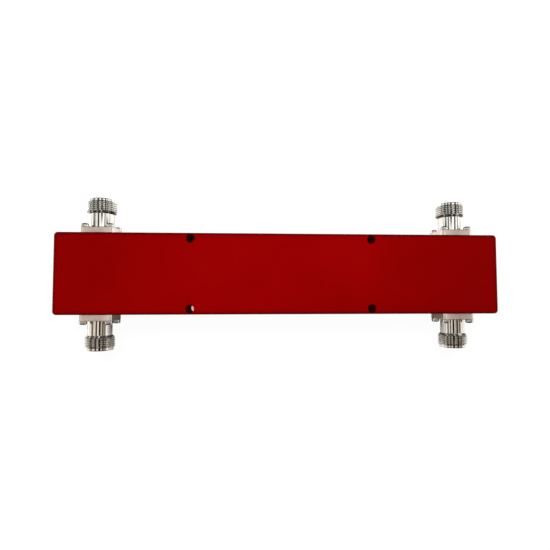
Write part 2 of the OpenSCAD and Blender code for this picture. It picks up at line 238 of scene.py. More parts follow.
# Materials
def startMaterial(name):
    material = bpy.data.materials.new(name)
    material.use_nodes = True
    tree = material.node_tree
    shader = tree.nodes["Principled BSDF"]
    shader.location = (700, 0)
    tree.nodes["Material Output"].location = (1000, 0)
    place = addNode(tree, "ShaderNodeTexCoord", -1100, 0).outputs["Object"]
    return material, tree, shader, place


def startFinish(name, look, cloud):  # every finish begins with a slow change between two tones
    material, tree, shader, place = startMaterial(name)
    slow = placeGroup(tree, cloud, place, -800, 250, Scale=look["cloud"], Detail=look["cloudDetail"])
    tone = mixColours(tree, slow.outputs["Cloud"], look["colour"], look["shade"], -400, 250)
    return material, tree, shader, place, slow.outputs["Cloud"], tone


def addStreaks(tree, place, scale):  # marks drawn out along one axis
    stretch = addNode(tree, "ShaderNodeMapping", -800, -250)
    stretch.inputs["Scale"].default_value = scale
    wire(tree, place, stretch.inputs["Vector"])
    return addNoise(tree, stretch.outputs["Vector"], 1.0, -550, -250)


def roughen(tree, shader, look, height):
    bump = addNode(tree, "ShaderNodeBump", 300, -300)
    bump.inputs["Strength"].default_value = look["bump"]
    bump.inputs["Distance"].default_value = look["bumpDepth"]
    wire(tree, height, bump.inputs["Height"])
    wire(tree, bump.outputs["Normal"], shader.inputs["Normal"])


def endFinish(tree, shader, look, colour, gloss, height):
    wire(tree, colour, shader.inputs["Base Color"])
    wire(tree, look["metallic"], shader.inputs["Metallic"])
    wire(tree, spreadValue(tree, gloss, look["smooth"], look["dull"], -100, -100), shader.inputs["Roughness"])
    roughen(tree, shader, look, height)


redFinish = {
    "colour": (0.430, 0.0008, 0.0012),
    "shade": (0.392, 0.0006, 0.0010),
    "cloud": 14.0,
    "cloudDetail": 3.0,
    "grain": 5200.0,
    "pits": 0.6,
    "bevelShade": (0.10, 0.0004, 0.0012),  # painted shade on the bevels
    "edgeWidth": 0.0006,
    "edgeSharpness": 3.0,
    "deepEdge": (0.012, 0.0002, 0.0004),  # painted shade: a soft dark band along the body's edges
    "deepEdgeReach": 0.003,
    "deepEdgePower": 2.0,
    "deepEdgeShare": 0.62,
    "metallic": 1.0,
    "smooth": 0.57,
    "dull": 0.63,
    "bump": 0.12,
    "bumpDepth": 0.00004,
}


def measureToEdge(tree, place):  # how far a point on the outside of the body is from its nearest edge
    low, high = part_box("cover")[0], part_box("housing")[1]
    middle, half = (low + high) / 2, (high - low) / 2
    inwards = []
    for row, part in enumerate(splitPlace(tree, place, -1000, -600)):
        y = -600 - 150 * row
        offset = calculate(tree, "SUBTRACT", part, middle[row], -850, y)
        aside = calculate(tree, "ABSOLUTE", offset, None, -700, y)
        inwards.append(calculate(tree, "SUBTRACT", half[row], aside, -550, y))
    inX, inY, inZ = inwards
    least = calculate(tree, "MINIMUM", inX, inY, -400, -600)
    most = calculate(tree, "MAXIMUM", inX, inY, -400, -750)
    return calculate(tree, "MAXIMUM", least, calculate(tree, "MINIMUM", most, inZ, -250, -750), -100, -650)


def makeRedFinish(cloud, grain, edge):
    look = redFinish
    material, tree, shader, place, slow, dye = startFinish("redAnodised", look, cloud)
    skin = placeGroup(tree, grain, place, -800, -300, Scale=look["grain"], Pits=look["pits"])
    rim = placeGroup(tree, edge, None, -800, -50, Width=look["edgeWidth"], Sharpness=look["edgeSharpness"])
    # painted shade on the bevels and in a soft band along the body's edges
    edged = mixColours(tree, rim.outputs["Edge"], dye, look["bevelShade"], -100, 150)
    inwards = measureToEdge(tree, place)
    near = limitValue(tree, inwards, look["deepEdgeReach"], 0.0, 50, -650, kind="LINEAR")
    curved = calculate(tree, "POWER", near, look["deepEdgePower"], 200, -650)
    deep = calculate(tree, "MULTIPLY", curved, look["deepEdgeShare"], 350, -650)
    banded = mixColours(tree, deep, edged, look["deepEdge"], 400, 150)
    endFinish(tree, shader, look, banded, slow, skin.outputs["Height"])
    return material


nickelPlate = {
    "colour": (0.82, 0.80, 0.74),
    "shade": (0.74, 0.72, 0.66),
    "cloud": 220.0,
    "cloudDetail": 3.0,
    "rings": 5000.0,
    # painted highlight: lighter along the edges
    "edge": (0.92, 0.91, 0.87),
    "edgeWidth": 0.00015,
    "edgeSharpness": 2.0,
    # painted shade: near-black in the thread's roots and on the cone, lighter in patches on the cone
    "paintedShade": (0.045, 0.042, 0.036),
    "thinShade": (0.42, 0.40, 0.36),
    "rootShadeShare": 0.54,
    "coneShadeMetallic": 0.6,
    "coneShadeDull": 0.38,
    "smooth": 0.05,
    "dull": 0.11,
    "bump": 0.10,
    "bumpDepth": 0.00002,
}


def makeNickelPlate(cloud, turning, edge):
    look = nickelPlate
    material, tree, shader, place, _, metal = startFinish("nickelPlate", look, cloud)
    rings = placeGroup(tree, turning, place, -800, -250, Rings=look["rings"], Share=look["rootShadeShare"])
    rim = placeGroup(tree, edge, None, -800, 0, Width=look["edgeWidth"], Sharpness=look["edgeSharpness"])
    # painted highlight along the edges
    paintedEdges = mixColours(tree, rim.outputs["Edge"], metal, look["edge"], -100, 200)
    # painted shade in the thread's roots and on the cone behind the thread
    paintedShadeMask = calculate(tree, "MAXIMUM", rings.outputs["RootShade"], rings.outputs["Cone"], 150, 350)
    shadeTone = mixColours(tree, rings.outputs["ThinShadePatch"], look["paintedShade"], look["thinShade"], 150, 550)
    wire(tree, mixColours(tree, paintedShadeMask, paintedEdges, shadeTone, 350, 250), shader.inputs["Base Color"])
    lessShade = spreadValue(tree, rings.outputs["Cone"], 1.0, look["coneShadeMetallic"], 350, 50)
    wire(tree, lessShade, shader.inputs["Metallic"])
    polish = spreadValue(tree, rings.outputs["Tone"], look["smooth"], look["dull"], -300, -50)
    dulled = calculate(tree, "MULTIPLY", rings.outputs["Cone"], look["coneShadeDull"], -300, -250)
    wire(tree, calculate(tree, "MAXIMUM", polish, dulled, -100, -100), shader.inputs["Roughness"])
    roughen(tree, shader, look, rings.outputs["Height"])
    return material


milledNickelPaintedReflection = {
    # warm pink tone: painted reflection of the red body
    "colour": (0.82, 0.675, 0.595),
    "shade": (0.71, 0.585, 0.51),
    "cloud": 250.0,
    "cloudDetail": 3.0,
    "streaks": (2600.0, 120.0, 2600.0),
    "metallic": 1.0,
    "smooth": 0.24,
    "dull": 0.38,
    "bump": 0.25,
    "bumpDepth": 0.00004,
}


def makeMilledNickel(cloud):  # the flange's sides, cut by a mill in straight lines, with a painted reflection of the red body in their warm tone
    material, tree, shader, place, _, metal = startFinish("milledNickelPaintedReflection", milledNickelPaintedReflection, cloud)
    lines = addStreaks(tree, place, milledNickelPaintedReflection["streaks"])
    endFinish(tree, shader, milledNickelPaintedReflection, metal, lines, lines)
    return material


screwSteel = {
    "colour": (0.76, 0.75, 0.72),
    "shade": (0.62, 0.61, 0.59),
    "cloud": 500.0,
    "cloudDetail": 3.0,
    "grain": 9000.0,
    "pits": 0.3,
    "edgeShade": (0.14, 0.135, 0.125),  # painted shade along the edges of the head and the recess
    "edgeWidth": 0.00025,
    "edgeSharpness": 2.5,
    "metallic": 1.0,
    "smooth": 0.08,
    "dull": 0.16,
    "bump": 0.08,
    "bumpDepth": 0.00002,
}


def makeScrewSteel(cloud, grain, edge):
    look = screwSteel
    material, tree, shader, place, slow, metal = startFinish("platedScrewSteel", look, cloud)
    skin = placeGroup(tree, grain, place, -800, -300, Scale=look["grain"], Pits=look["pits"])
    rim = placeGroup(tree, edge, None, -800, 0, Width=look["edgeWidth"], Sharpness=look["edgeSharpness"])
    # painted shade along the head's edges and in the recess
    paintedEdges = mixColours(tree, rim.outputs["Edge"], metal, look["edgeShade"], -100, 200)
    endFinish(tree, shader, look, paintedEdges, slow, skin.outputs["Height"])
    return material


contactGold = {
    "colour": (0.93, 0.70, 0.33),
    "shade": (0.82, 0.58, 0.25),
    "cloud": 600.0,
    "cloudDetail": 2.0,
    "rings": 9000.0,
    "metallic": 1.0,
    "smooth": 0.14,
    "dull": 0.26,
    "bump": 0.15,
    "bumpDepth": 0.00002,
}


def makeContactGold(cloud, turning):
    look = contactGold
    material, tree, shader, place, _, metal = startFinish("contactGold", look, cloud)
    rings = placeGroup(tree, turning, place, -800, -250, Rings=look["rings"])
    endFinish(tree, shader, look, metal, rings.outputs["Tone"], rings.outputs["Height"])
    return material


silverPlate = {
    "colour": (0.88, 0.87, 0.83),
    "shade": (0.74, 0.70, 0.60),
    "cloud": 60.0,
    "cloudDetail": 4.0,
    "streaks": (60.0, 6000.0, 6000.0),
    "metallic": 1.0,
    "smooth": 0.24,
    "dull": 0.38,
    "bump": 0.2,
    "bumpDepth": 0.00002,
}


def makeSilverPlate(cloud):  # the strips are brushed lengthways
    material, tree, shader, place, _, metal = startFinish("silverPlate", silverPlate, cloud)
    brush = addStreaks(tree, place, silverPlate["streaks"])
    endFinish(tree, shader, silverPlate, metal, brush, brush)
    return material


whiteInsulation = {
    "colour": (0.86, 0.86, 0.84),
    "shade": (0.80, 0.79, 0.76),
    "cloud": 300.0,
    "cloudDetail": 3.0,
    "grain": 3500.0,
    "pits": 0.4,
    "metallic": 0.0,
    "smooth": 0.38,
    "dull": 0.50,
    "bump": 0.15,
    "bumpDepth": 0.00004,
}


def makeWhiteInsulation(cloud, grain):
    look = whiteInsulation
    material, tree, shader, place, _, white = startFinish("whiteInsulation", look, cloud)
    skin = placeGroup(tree, grain, place, -800, -250, Scale=look["grain"], Pits=look["pits"])
    endFinish(tree, shader, look, white, skin.outputs["Speckle"], skin.outputs["Height"])
    return material


sealRubber = {
    "colour": (0.012, 0.012, 0.013),
    "shade": (0.035, 0.034, 0.033),  # dusty
    "cloud": 400.0,
    "cloudDetail": 4.0,
    "grain": 5000.0,
    "pits": 0.5,
    "metallic": 0.0,
    "smooth": 0.45,
    "dull": 0.62,
    "bump": 0.2,
    "bumpDepth": 0.00004,
}


def makeSealRubber(cloud, grain):
    look = sealRubber
    material, tree, shader, place, slow, black = startFinish("sealRubber", look, cloud)
    skin = placeGroup(tree, grain, place, -800, -250, Scale=look["grain"], Pits=look["pits"])
    endFinish(tree, shader, look, black, slow, skin.outputs["Height"])
    return material


# Every solid piece keeps its form and gets its finish
def dressSolid(name, material):
    solid = nodes[name]
    solid.data.materials.clear()
    solid.data.materials.append(material)


# Jack shell with its cut thread, made upright in millimetres with the wall at z = 0
jackShell = {
    "flangeHalf": 8.9,
    "flangeThick": 3.5,
    "flangeCorner": 1.5,
    "flangeBevel": 0.3,
    "cornerSteps": 8,
    "holeFromAxis": 6.8,
    "holeRadius": 1.35,
    "holeRim": 0.12,
    "holeSegments": 32,
    "neckRadius": 6.45,
    "neckFillet": 0.15,
    "neckEnd": 11.4,
    "threadRadius": 7.9375,
    "threadStart": 12.5,
    "threadEnd": 17.6,
    "pitch": 25.4 / 24,
    "threadDepth": 0.65,
    "turnSteps": 96,
    "flankSteps": 3,
    "lipRadius": 7.2,
    "lipBevel": 0.4,
    "front": 19.7,
    "mouthRadius": 4.05,
    "mouthBevelRadius": 4.9,
    "mouthBevelLength": 1.2,
    "mouthEnd": 10.6,
    "stepRadius": 3.5,
    "seatEnd": 9.4,
    "seatRadius": 5.0,
    "grooveInner": 5.75,
    "grooveOuter": 6.85,
    "grooveDepth": 0.9,
    "edgeRound": 0.06,
    "turnWeld": 0.002,  # points of neighbouring turns this near become one
    "weld": 0.0005,
    "sideFrom": 0.01,  # faces above this, and on the flange's sides, are milled
    "sharpAngle": 25,
}


def boundaryAt(bm, height, tolerance=0.001):
    return [e for e in bm.edges if e.is_boundary and all(abs(v.co.z - height) < tolerance for v in e.verts)]


def extrudeEdges(bm, edges):  # the new points and the new edges
    grown = bmesh.ops.extrude_edge_only(bm, edges=edges)["geom"]
    points = [g for g in grown if isinstance(g, bmesh.types.BMVert)]
    return points, [g for g in grown if isinstance(g, bmesh.types.BMEdge)]


def growRing(bm, ring, radius, height):  # one more step along the turned profile
    points, grown = extrudeEdges(bm, ring)
    for v in points:
        scale = radius / math.hypot(v.co.x, v.co.y)
        v.co = Vector((v.co.x * scale, v.co.y * scale, height))
    return grown


def growProfile(bm, ring, profile):
    for radius, height in profile:
        ring = growRing(bm, ring, radius, height)
    return ring


def threadProfile(s):  # root, flank, crest, flank for one pitch, as radius and height
    root = s["threadRadius"] - s["threadDepth"]
    crestFlat = s["pitch"] / 8
    rootFlat = s["pitch"] / 4
    flank = (s["pitch"] - crestFlat - rootFlat) / 2
    crestEnd = rootFlat + flank + crestFlat
    points = [(root, 0.0), (root, rootFlat)]
    for step in range(1, s["flankSteps"] + 1):
        share = step / s["flankSteps"]
        points.append((root + share * s["threadDepth"], rootFlat + share * flank))
    points.append((s["threadRadius"], crestEnd))
    for step in range(1, s["flankSteps"]):
        share = step / s["flankSteps"]
        points.append((s["threadRadius"] - share * s["threadDepth"], crestEnd + share * flank))
    return points


def cutThread(bm, s):
    root = s["threadRadius"] - s["threadDepth"]
    slope = (s["threadRadius"] - s["neckRadius"]) / (s["threadStart"] - s["neckEnd"])
    low = s["neckEnd"] + (root - s["neckRadius"]) / slope
    high = s["threadEnd"] + s["threadDepth"]
    turns = math.ceil((high - low) / s["pitch"]) + 2  # one too many at each end, cut off below
    previous = None
    for turn in range(turns):
        for radius, height in threadProfile(s):
            point = bm.verts.new((radius, 0.0, low - 1.5 * s["pitch"] + turn * s["pitch"] + height))
            if previous:
                bm.edges.new((previous, point))
            previous = point
    bmesh.ops.spin(bm, geom=bm.verts[:] + bm.edges[:], cent=(0, 0, 0), axis=(0, 0, 1),
                   dvec=(0, 0, s["pitch"] / s["turnSteps"]), angle=2 * math.pi, steps=s["turnSteps"])
    bmesh.ops.remove_doubles(bm, verts=bm.verts[:], dist=s["turnWeld"])
    for height, outwards in ((low, -1), (high, 1)):
        bmesh.ops.bisect_plane(bm, geom=bm.verts[:] + bm.edges[:] + bm.faces[:], dist=s["weld"],
                               plane_co=(0, 0, height), plane_no=(0, 0, outwards), clear_outer=True)
    for v in bm.verts:  # the run-outs follow the shoulder's cone and the cone before the lip
        radius = math.hypot(v.co.x, v.co.y)
        shoulder = s["neckRadius"] + slope * (v.co.z - s["neckEnd"])
        chamfer = s["threadRadius"] - (v.co.z - s["threadEnd"])
        limit = max(root, min(s["threadRadius"], shoulder, chamfer))
        scale = min(radius, limit) / radius
        v.co.x *= scale
        v.co.y *= scale
    return root, low, high


def roundedSquare(bm, half, corner, height, steps):
    others = set(bm.faces)
    grid = bmesh.ops.create_grid(bm, x_segments=1, y_segments=1, size=half,
                                 matrix=Matrix.Translation((0, 0, height)))
    bmesh.ops.bevel(bm, geom=grid["verts"], offset=corner, offset_type="OFFSET", segments=steps,
                    profile=0.5, affect="VERTICES", material=-1)
    made = [f for f in bm.faces if f not in others]
    outline = list({e for f in made for e in f.edges if e.is_boundary})
    bmesh.ops.delete(bm, geom=made, context="FACES_ONLY")
    return outline


def growOutline(bm, outline, half, corner, newHalf, height):  # the round corners stay concentric
    points, grown = extrudeEdges(bm, outline)
    centre = half - corner
    scale = (newHalf - centre) / corner
    for v in points:
        middle = Vector((math.copysign(centre, v.co.x), math.copysign(centre, v.co.y), 0))
        v.co = middle + (Vector((v.co.x, v.co.y, 0)) - middle) * scale
        v.co.z = height
    return grown


def addCircle(bm, x, y, radius, height, segments):
    made = bmesh.ops.create_circle(bm, cap_ends=False, radius=radius, segments=segments,
                                   matrix=Matrix.Translation((x, y, height)))
    return list({e for v in made["verts"] for e in v.link_edges})


def growHole(bm, ring, x, y, radius, height):
    points, grown = extrudeEdges(bm, ring)
    for v in points:
        out = Vector((v.co.x - x, v.co.y - y))
        out *= radius / out.length
        v.co = Vector((x + out.x, y + out.y, height))
    return grown


def buildShellMesh(s):
    bm = bmesh.new()
    root, low, high = cutThread(bm, s)
    soft = s["edgeRound"]
    lip, front = s["lipRadius"], s["front"]
    bore, mouth, bevel = s["mouthRadius"], s["mouthBevelRadius"], s["lipBevel"]
    inside = growProfile(bm, boundaryAt(bm, high), [
        (lip, high + root - lip),
        (lip, front - bevel - soft),
        (lip - soft, front - bevel + soft),
        (lip - bevel + soft, front - soft),
        (lip - bevel - soft, front),
        (mouth + soft, front),
        (mouth - soft, front - soft),
        (bore + soft, front - s["mouthBevelLength"] + soft),
        (bore, front - s["mouthBevelLength"] - soft),
        (bore, s["mouthEnd"]),
        (s["stepRadius"] + soft, s["mouthEnd"]),
        (s["stepRadius"], s["mouthEnd"] - soft),
        (s["stepRadius"], s["seatEnd"]),
        (s["seatRadius"], s["seatEnd"]),
        (s["seatRadius"], 0.0),
        (s["grooveInner"], 0.0),
        (s["grooveInner"], s["grooveDepth"]),
        (s["grooveOuter"], s["grooveDepth"]),
        (s["grooveOuter"], 0.0),
    ])
    top = s["flangeThick"]
    fillet = s["neckFillet"]
    outside = growProfile(bm, boundaryAt(bm, low), [(s["neckRadius"], s["neckEnd"])] + [
        (s["neckRadius"] + fillet * (1 - math.cos(a)), top + fillet * (1 - math.sin(a)))
        for a in (math.radians(d) for d in (0, 30, 60, 90))
    ])
    half, corner = s["flangeHalf"], s["flangeCorner"]
    faceHalf, faceCorner = half - s["flangeBevel"], corner - s["flangeBevel"]
    rim = roundedSquare(bm, faceHalf, faceCorner, top, s["cornerSteps"])
    side = growOutline(bm, rim, faceHalf, faceCorner, half, top - s["flangeBevel"])
    back = growOutline(bm, side, half, corner, half, 0.0)
    frontEdges = rim + outside
    backEdges = back + inside
    for x in (-s["holeFromAxis"], s["holeFromAxis"]):
        for y in (-s["holeFromAxis"], s["holeFromAxis"]):
            ring = addCircle(bm, x, y, s["holeRadius"] + s["holeRim"], top, s["holeSegments"])
            frontEdges += ring
            ring = growHole(bm, ring, x, y, s["holeRadius"], top - s["holeRim"])
            backEdges += growHole(bm, ring, x, y, s["holeRadius"], 0.0)
    bmesh.ops.triangle_fill(bm, use_beauty=True, use_dissolve=False, edges=frontEdges, normal=(0, 0, 1))
    bmesh.ops.triangle_fill(bm, use_beauty=True, use_dissolve=False, edges=backEdges, normal=(0, 0, -1))
    bmesh.ops.remove_doubles(bm, verts=bm.verts[:], dist=s["weld"])
    bmesh.ops.recalc_face_normals(bm, faces=bm.faces[:])
    for face in bm.faces:  # the flat sides are milled, the round corners polished
        centre = face.calc_center_median()
        far, near = max(abs(centre.x), abs(centre.y)), min(abs(centre.x), abs(centre.y))
        beside = far > faceHalf and near < half - corner
        if beside and s["sideFrom"] < centre.z < top - s["flangeBevel"] / 2:
            face.material_index = 1
    return bm


def placeJack(x, side, height, wallY):  # from the upright making place to the jack's own place
    turn = Matrix.Rotation(math.radians(-90 * side), 4, "X")
    return Matrix.Translation((x, side * wallY, height)) @ turn @ Matrix.Scale(millimetre, 4)


def finishMesh(name, bm, place, materials, sharpAngle):
    mesh = bpy.data.meshes.new(name)
    bm.to_mesh(mesh)
    mesh.transform(place)
    mesh.polygons.foreach_set("use_smooth", [True] * len(mesh.polygons))
    mesh.set_sharp_from_angle(angle=math.radians(sharpAngle))
    for material in materials:
        mesh.materials.append(material)
    made = bpy.data.objects.new(name, mesh)
    bpy.context.scene.collection.objects.link(made)
    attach(made, "root")
    openEdges = sum(1 for e in bm.edges if not e.is_manifold)
    print(made.name, "faces", len(mesh.polygons), "open edges", openEdges)
    bm.free()
    return made


jacks = {"in_1": -1, "in_2": 1, "out_1": -1, "out_2": 1}


def jackAxis(jack):  # the axis and the wall, from the shell's own solid
    low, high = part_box(jack + "_shell")
    side = jacks[jack]
    wallY = low.y if side > 0 else -high.y
    return (low.x + high.x) / 2, side, (low.z + high.z) / 2, wallY


def buildJackShells(materials):
    for jack in jacks:
        bm = buildShellMesh(jackShell)
        place = placeJack(*jackAxis(jack))
        made = finishMesh(jack + "_threaded_shell", bm, place, materials, jackShell["sharpAngle"])
        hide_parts(jack + "_shell")


# Domed screws, made upright in millimetres with the face under the head at z = 0
domedScrew = {
    "headRadius": 2.15,
    "headTop": 2.3,
    "domeRadius": 3.2,
    "rimRound": 1.0,
    "rimSteps": 8,
    "shankRadius": 1.25,
    "shankEnd": -8.0,
    "endBevel": 0.3,
    "turns": (17.0, 64.0, 41.0, 88.0),
    "sharpAngle": 32,
}
crossRecess = {
    "halfLength": 1.3,
    "halfWidth": 0.3,
    "depth": 1.0,
    "floorScale": 0.55,
    "ringRadius": 1.42,
    "segments": 40,
}


def domeHeight(s, radius):
    return s["headTop"] - s["domeRadius"] + math.sqrt(s["domeRadius"] ** 2 - radius ** 2)


def headProfile(s):  # from the ring round the recess to the point, as radius and height
    rim, side = s["rimRound"], s["headRadius"]
    reach = s["domeRadius"] - rim
    first = math.asin((side - rim) / reach)
    centre = s["headTop"] - s["domeRadius"] + reach * math.cos(first)
    touch = s["domeRadius"] * math.sin(first)
    middle = (crossRecess["ringRadius"] + touch) / 2
    profile = [(middle, domeHeight(s, middle))]
    for step in range(s["rimSteps"] + 1):
        a = first + (math.pi / 2 - first) * step / s["rimSteps"]
        profile.append((side - rim + rim * math.sin(a), centre + rim * math.cos(a)))
    profile += [(side, 0.0), (s["shankRadius"], 0.0)]
    bevel = s["endBevel"]
    return profile + [(s["shankRadius"], s["shankEnd"] + bevel), (s["shankRadius"] - bevel, s["shankEnd"])]


def addCross(bm, c, height):
    others = set(bm.faces)
    middle = bmesh.ops.create_grid(bm, x_segments=1, y_segments=1, size=c["halfWidth"],
                                   matrix=Matrix.Translation((0, 0, height)))
    arms = list({e for v in middle["verts"] for e in v.link_edges})
    for arm in arms:
        out = Vector((sum(v.co.x for v in arm.verts), sum(v.co.y for v in arm.verts), 0)).normalized()
        for v in extrudeEdges(bm, [arm])[0]:
            v.co += out * (c["halfLength"] - c["halfWidth"])
    made = [f for f in bm.faces if f not in others]
    outline = list({e for f in made for e in f.edges if e.is_boundary})
    bmesh.ops.delete(bm, geom=made, context="FACES")
    return [e for e in outline if e.is_valid]


def buildScrewMesh(s):
    c = crossRecess
    bm = bmesh.new()
    cross = addCross(bm, c, 0.0)
    ring = addCircle(bm, 0, 0, c["ringRadius"], 0.0, c["segments"])
    bmesh.ops.triangle_fill(bm, use_beauty=True, use_dissolve=False, edges=cross + ring, normal=(0, 0, 1))
    for v in bm.verts:
        v.co.z = domeHeight(s, math.hypot(v.co.x, v.co.y))
    end = growProfile(bm, ring, headProfile(s))
    bmesh.ops.holes_fill(bm, edges=end)
    points, foot = extrudeEdges(bm, cross)
    for v in points:
        v.co = Vector((v.co.x * c["floorScale"], v.co.y * c["floorScale"], s["headTop"] - c["depth"]))
    bmesh.ops.holes_fill(bm, edges=foot)
    bmesh.ops.recalc_face_normals(bm, faces=bm.faces[:])
    return bm


def joinScrews(s, places):  # one mesh of alike screws, each turned its own way
    single = bpy.data.meshes.new("singleScrew")
    made = buildScrewMesh(s)
    made.to_mesh(single)
    made.free()
    whole = bmesh.new()
    for number, place in enumerate(places):
        turn = Matrix.Rotation(math.radians(s["turns"][number % len(s["turns"])]), 4, "Z")
        copy = single.copy()
        copy.transform(place @ turn)
        whole.from_mesh(copy)
        bpy.data.meshes.remove(copy)
    bpy.data.meshes.remove(single)
    return whole


def buildFlangeScrews(material):
    reach = jackShell["holeFromAxis"]
    top = jackShell["flangeThick"]
    places = [Matrix.Translation((x, y, top)) for x in (-reach, reach) for y in (-reach, reach)]
    for jack in jacks:
        bm = joinScrews(domedScrew, places)
        place = placeJack(*jackAxis(jack))
        made = finishMesh(jack + "_domed_screws", bm, place, [material], domedScrew["sharpAngle"])
        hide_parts(jack + "_screws")


# Floor, light and camera
def addSheet(name, half, height):
    bm = bmesh.new()
    bmesh.ops.create_grid(bm, x_segments=1, y_segments=1, size=half,
                          matrix=Matrix.Translation((0, 0, height)))
    mesh = bpy.data.meshes.new(name)
    bm.to_mesh(mesh)
    bm.free()
    sheet = bpy.data.objects.new(name, mesh)
    bpy.context.scene.collection.objects.link(sheet)
    return sheet


studioFloor = {
    "half": 6.0,
    "gap": 0.0002,  # below the coupler
    "pale": 0.42,
    "cloud": 3.0,
    "cloudTone": (0.98, 0.98, 0.985),
    "rough": 0.9,
    "specular": 0.1,
    "lift": 0.94,  # share of white glow that the camera sees
    "glow": 1.02,
    "dimFrom": 0.05,  # painted shade: dark in reflections from here outwards along Y
    "dimTo": 0.08,
    "dim": 0.95,
    "shadowPatchX": (-0.095, 0.01),  # and a painted shadow, partly dark, under the lower left jack
    "shadowPatchY": -0.027,
    "shadowPatchSoft": 0.01,
    "shadowPatchShare": 0.42,
    "underBody": (0.85, 0.44, 0.42),  # painted shadow, reddish, below the body, seen through its holes
    "underEdge": 0.002,
    # painted glow below the body, for rays other than the camera's, that lights the hole walls
    "underShare": 0.10,
}


def buildFloor(s):  # white to the camera, with painted shade in reflections and a painted shadow and glow below the body
    floor = addSheet("studioFloor", s["half"], -s["gap"])
    material, tree, shader, place = startMaterial("paleFloor")
    noise = addNoise(tree, place, s["cloud"], -600, 0)
    pale = s["pale"]
    tone = mixColours(tree, noise, (pale, pale, pale), tuple(pale * part for part in s["cloudTone"]), -200, 0)
    path = addNode(tree, "ShaderNodeLightPath", 400, 400)
    placeX, placeY = splitPlace(tree, place, -800, -400)[:2]
    outX = calculate(tree, "ABSOLUTE", placeX, None, -600, -600)
    outY = calculate(tree, "ABSOLUTE", placeY, None, -600, -400)
    # painted shade that only reflections see: the floor far out along Y and a patch in front of the body
    away = limitValue(tree, outY, s["dimFrom"], s["dimTo"], -400, -400)
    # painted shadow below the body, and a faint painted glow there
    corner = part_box("housing")[1]
    underX = limitValue(tree, outX, corner.x, corner.x - s["underEdge"], -400, -700)
    underY = limitValue(tree, outY, corner.y, corner.y - s["underEdge"], -400, -1000)
    under = calculate(tree, "MULTIPLY", underX, underY, -200, -800)
    low, high = s["shadowPatchX"]
    shadowPatchLeft = limitValue(tree, placeX, low - s["shadowPatchSoft"], low, -600, 0)
    shadowPatchRight = limitValue(tree, placeX, high + s["shadowPatchSoft"], high, -600, 300)
    shadowPatchNear = limitValue(tree, placeY, s["shadowPatchY"] + s["shadowPatchSoft"], s["shadowPatchY"], -600, 600)
    shadowPatchWide = calculate(tree, "MULTIPLY", shadowPatchLeft, shadowPatchRight, -400, 200)
    shadowPatch = calculate(tree, "MULTIPLY", shadowPatchWide, shadowPatchNear, -300, 300)
    shadowPatchShade = calculate(tree, "MULTIPLY", shadowPatch, s["shadowPatchShare"], -250, 150)
    shady = calculate(tree, "MAXIMUM", away, shadowPatchShade, -250, -200)
    mirrored = calculate(tree, "MULTIPLY", shady, path.outputs["Is Glossy Ray"], -200, -400)
    dim = calculate(tree, "MULTIPLY", mirrored, s["dim"], 0, -400)
    wire(tree, mixColours(tree, dim, tone, (0.0, 0.0, 0.0), 200, 0), shader.inputs["Base Color"])
    wire(tree, s["rough"], shader.inputs["Roughness"])
    wire(tree, s["specular"], shader.inputs["Specular IOR Level"])
    glow = addNode(tree, "ShaderNodeEmission", 700, 300)
    wire(tree, mixColours(tree, under, (1.0, 1.0, 1.0), s["underBody"], 500, 300), glow.inputs["Color"])
    wire(tree, s["glow"], glow.inputs["Strength"])
    # painted glow below the body for rays other than the camera's
    faint = calculate(tree, "MULTIPLY", under, s["underShare"], 400, 600)
    bright = calculate(tree, "MAXIMUM", path.outputs["Is Camera Ray"], faint, 550, 450)
    blend = addNode(tree, "ShaderNodeMixShader", 1000, 200)
    wire(tree, calculate(tree, "MULTIPLY", bright, s["lift"], 700, 450), blend.inputs["Fac"])
    wire(tree, shader.outputs[0], blend.inputs[1])
    wire(tree, glow.outputs[0], blend.inputs[2])
    wire(tree, blend.outputs[0], tree.nodes["Material Output"].inputs["Surface"])
    floor.data.materials.append(material)


# Light panel overhead, in metres: strips along Y with dark gaps between them, as middle, width and brightness
lightPanel = {
    "height": 0.41,
    "half": 1.5,
    "gaps": [(-0.67, 0.22, 0.10), (-0.22, 0.10, 0.05), (0.29, 0.12, 0.05), (0.64, 0.22, 0.10)],
    "soft": 0.025,
    "strength": 1.3,
    "sideways": 0.70,  # brighter towards +X
    "darkFrom": -0.045,  # dark stripe over the body's middle
    "darkTo": 0.065,
    "darkSoft": 0.03,
    "darkStart": 0.22,
    "darkFull": 0.09,
    "besideFrom": 0.08,  # dim corner over the lower right jack
    "besideTo": 0.13,
    "besideStart": -0.045,
    "besideFull": -0.06,
    "besideDark": 0.60,
    "spotMiddle": (0.0, 0.015, 0.41),  # bright oval that the body's face mirrors
    "spotReach": (0.34, 0.042, 1.0),
    "spotGain": 5.4,
    "endFrom": 0.20,  # dark ends along Y
    "endTo": 0.45,
    "endDark": 0.03,
}
warmth = {"near": (0.86, 0.76, 0.68), "far": (1.0, 1.0, 1.0), "from": -0.30, "to": 0.15}


def warmTone(tree, rise, x, y):  # warm light from the near side, white from the far side
    turned = limitValue(tree, rise, warmth["from"], warmth["to"], x, y)
    return mixColours(tree, turned, warmth["near"], warmth["far"], x + 200, y)


